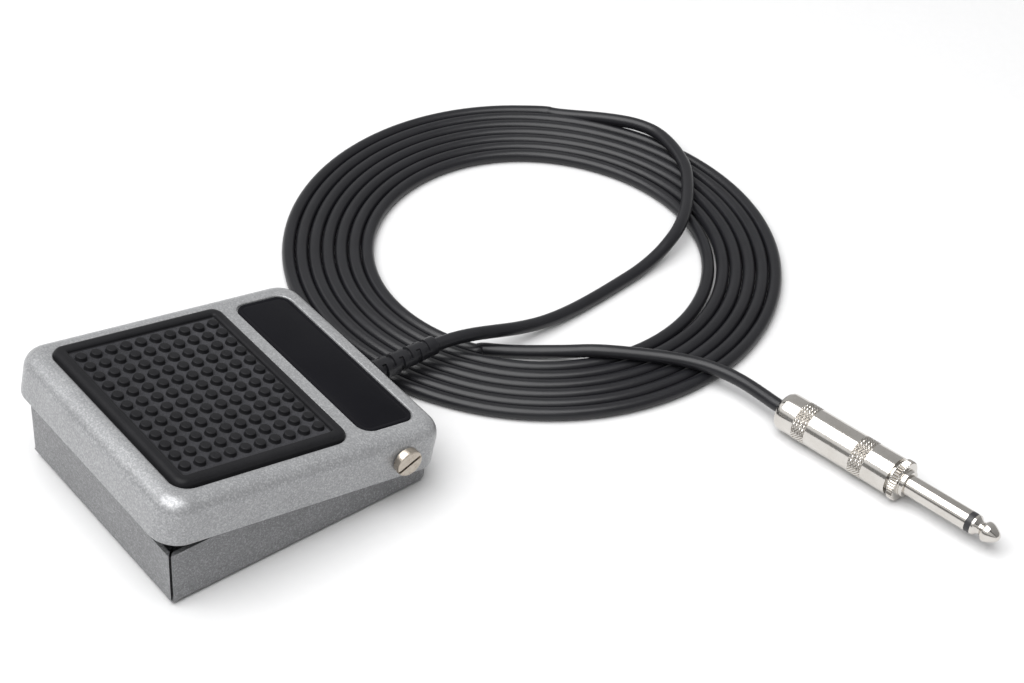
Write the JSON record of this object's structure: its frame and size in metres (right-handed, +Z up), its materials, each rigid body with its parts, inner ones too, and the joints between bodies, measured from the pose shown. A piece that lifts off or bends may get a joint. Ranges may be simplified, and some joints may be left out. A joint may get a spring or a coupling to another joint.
{
  "type": "sustain pedal",
  "caption": "Boxed foot switch with a tilting treadle, return spring, snap switch, coiled lead and quarter-inch plug.",
  "frame": {"origin": "middle of the base's footprint, on the underside of the anti-slip mat, which is the floor plane", "axes": "+X to the pedal's right side, +Y towards the hinge and the cord exit, +Z up"},
  "size_m": [0.2654, 0.2636, 0.04],
  "materials": {
    "cover_paint": "fine silver metallic paint, satin",
    "pan_paint": "darker grey metallic paint, satin",
    "rubber": "matte moulded rubber",
    "plate_black": "satin black plate",
    "cord_pvc": "semi-matte PVC",
    "nickel": "bright nickel plate",
    "zinc_steel": "zinc plated",
    "nylon": "natural nylon",
    "switch_black": "moulded phenolic",
    "brass": "tinned brass",
    "wire_insulation": "thin PVC insulation"
  },
  "bodies": {
    "base": {"base_pan": "pan_paint", "anti_slip_mat": "rubber", "hinge_screw_right": "nickel", "hinge_screw_left": "nickel", "hinge_nut_right": "zinc_steel", "hinge_nut_left": "zinc_steel", "strain_relief": "cord_pvc", "inner_cord": "cord_pvc", "cord_saddle": "nylon", "cord_clamp_bar": "zinc_steel", "cord_clamp_screws": "zinc_steel", "signal_wires": "wire_insulation", "spring_cup": "nylon", "return_spring": "zinc_steel", "down_stop_pad": "rubber", "switch_bracket": "zinc_steel", "bracket_rivets": "zinc_steel", "switch_case": "switch_black", "switch_lid": "switch_black", "switch_terminals": "brass", "switch_blade": "brass", "switch_screws": "zinc_steel", "switch_nuts": "zinc_steel", "cord_lead_in": "cord_pvc", "cord_coil": "cord_pvc", "cord_lead_out": "cord_pvc", "plug_barrel": "nickel", "plug_grommet": "rubber", "plug_inner_cord": "cord_pvc", "plug_cord_clamp": "zinc_steel", "plug_collar": "nickel", "plug_sleeve": "nickel", "plug_insulator": "switch_black", "plug_tip": "nickel"},
    "pedal": {"top_cover": "cover_paint", "tread_pad": "rubber", "name_plate": "plate_black", "hinge_bush_right": "nylon", "hinge_bush_left": "nylon", "spring_boss": "nylon", "striker": "nylon", "catch_hook": "zinc_steel", "up_stop_pad": "rubber"},
    "switch_lever": {"switch_lever": "zinc_steel"},
    "switch_plunger": {"switch_plunger": "nylon"}
  },
  "joints": [
    {"name": "pedal_hinge", "type": "hinge", "parent": "base", "child": "pedal", "pos_m": [0, 0.0319, 0.0175], "axis": [1, 0, 0], "range_deg": [0, 5.5], "stiffness_Nm_per_rad": 3, "springref_deg": -8.59, "deforming": ["return_spring"]},
    {"name": "switch_lever_pivot", "type": "hinge", "parent": "base", "child": "switch_lever", "pos_m": [0, 0.0173, 0.0199], "axis": [1, 0, 0], "range_deg": [0, 9.8]},
    {"name": "switch_plunger_slide", "type": "slide", "parent": "base", "child": "switch_plunger", "axis": [0, 0, 1], "range_m": [-0.00095, 0]}
  ],
  "couplings": [
    {"joint": "switch_lever_pivot", "follows": "pedal_hinge", "ratio": 1.745},
    {"joint": "switch_plunger_slide", "follows": "pedal_hinge", "m_per_rad": -0.009376}
  ]
}
